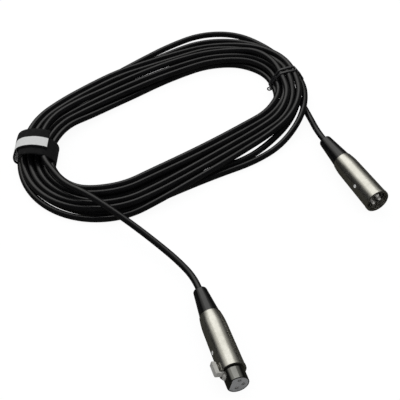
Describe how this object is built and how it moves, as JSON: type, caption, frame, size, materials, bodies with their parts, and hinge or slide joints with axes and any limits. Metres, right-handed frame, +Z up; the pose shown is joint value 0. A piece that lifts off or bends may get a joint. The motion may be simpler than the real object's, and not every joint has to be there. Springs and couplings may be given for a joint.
{
  "type": "coiled microphone cable",
  "caption": "Coiled black microphone cable with a three-pole plug and a latching three-pole socket, tied with a hook-and-loop strap and a twist tie.",
  "frame": {"origin": "on the surface the cable lies on, under the middle of the box round the connectors, strap and tie", "axes": "+Z up; +X along the long axis of the hank, towards the twist tie; -Y the way the two leads run off"},
  "size_m": [0.261, 0.317, 0.0201],
  "materials": {
    "bare_wire": "bare copper",
    "boot": "semi-gloss black",
    "cable_jacket": "satin black PVC",
    "clamp": "natural nylon",
    "contact": "silver plating over brass",
    "insert": "grey moulding",
    "latch": "nickel plated sheet",
    "nose_metal": "bright plating",
    "red_wire": "red insulation",
    "screw": "dark plated steel",
    "shell": "satin nickel plating",
    "spring_steel": "spring steel",
    "strap": "woven black hook-and-loop tape",
    "tie": "black plastic over wire",
    "white_wire": "white insulation"
  },
  "bodies": {
    "cable": {"cable_coil": "cable_jacket", "male_boot": "boot", "male_shell": "shell", "male_insert": "insert", "contact_pin_1": "contact", "contact_pin_2": "contact", "contact_pin_3": "contact", "male_cable_clamp": "clamp", "male_cable_end": "cable_jacket", "male_shield_conductor": "bare_wire", "male_hot_conductor": "red_wire", "male_cold_conductor": "white_wire", "male_retaining_screw": "screw", "female_boot": "boot", "female_shell": "shell", "female_nose_sleeve": "nose_metal", "female_insert": "insert", "socket_contact_1": "contact", "socket_contact_2": "contact", "socket_contact_3": "contact", "latch_pivot_pin": "spring_steel", "latch_spring": "spring_steel", "female_cable_clamp": "clamp", "female_cable_end": "cable_jacket", "female_shield_conductor": "bare_wire", "female_hot_conductor": "red_wire", "female_cold_conductor": "white_wire", "female_retaining_screw": "screw", "female_lead": "cable_jacket", "male_lead": "cable_jacket", "hook_and_loop_strap": "strap", "twist_tie": "tie"},
    "latch": {"latch_lever": "latch"}
  },
  "joints": [
    {"name": "latch_press", "type": "hinge", "parent": "cable", "child": "latch", "pos_m": [-0.11547, -0.12397, 0.01099], "axis": [0.2503, -0.0686, 0.9657], "range_deg": [0, 3.5], "stiffness_Nm_per_rad": 0.6}
  ]
}
